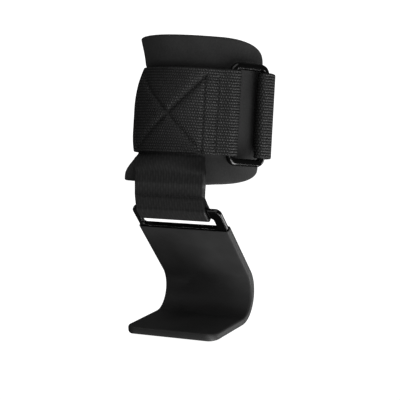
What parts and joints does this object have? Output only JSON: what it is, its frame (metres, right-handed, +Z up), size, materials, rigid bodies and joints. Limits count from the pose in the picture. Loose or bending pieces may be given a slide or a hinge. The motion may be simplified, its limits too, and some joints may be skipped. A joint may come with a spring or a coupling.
{
  "type": "lifting hook glove",
  "caption": "Foam wrist cuff cinched by a woven strap through a rectangular ring, with a bent coated steel hook slung from it for gripping a bar.",
  "frame": {"origin": "the middle of the wrist hollow, at mid-height of the wrist strap, where a wrist holds the cuff", "axes": "+Z up the forearm, -Y out of the palm side, +X towards the little finger of the right hand"},
  "size_m": [0.0861, 0.0788, 0.1759],
  "materials": {
    "pad": "smooth-skinned neoprene foam, matt charcoal",
    "webbing": "woven nylon webbing, black",
    "hook_webbing": "woven nylon webbing with vertical ribs, black",
    "painted_steel": "gloss black enamel on steel",
    "rubber_coat": "matt dipped rubber, dark grey"
  },
  "bodies": {
    "root": {"wrist_pad": "pad", "wrist_strap": "webbing", "strap_ring": "painted_steel", "hook_strap": "hook_webbing", "hook_plate": "painted_steel", "hook_coat": "rubber_coat"}
  },
  "joints": []
}
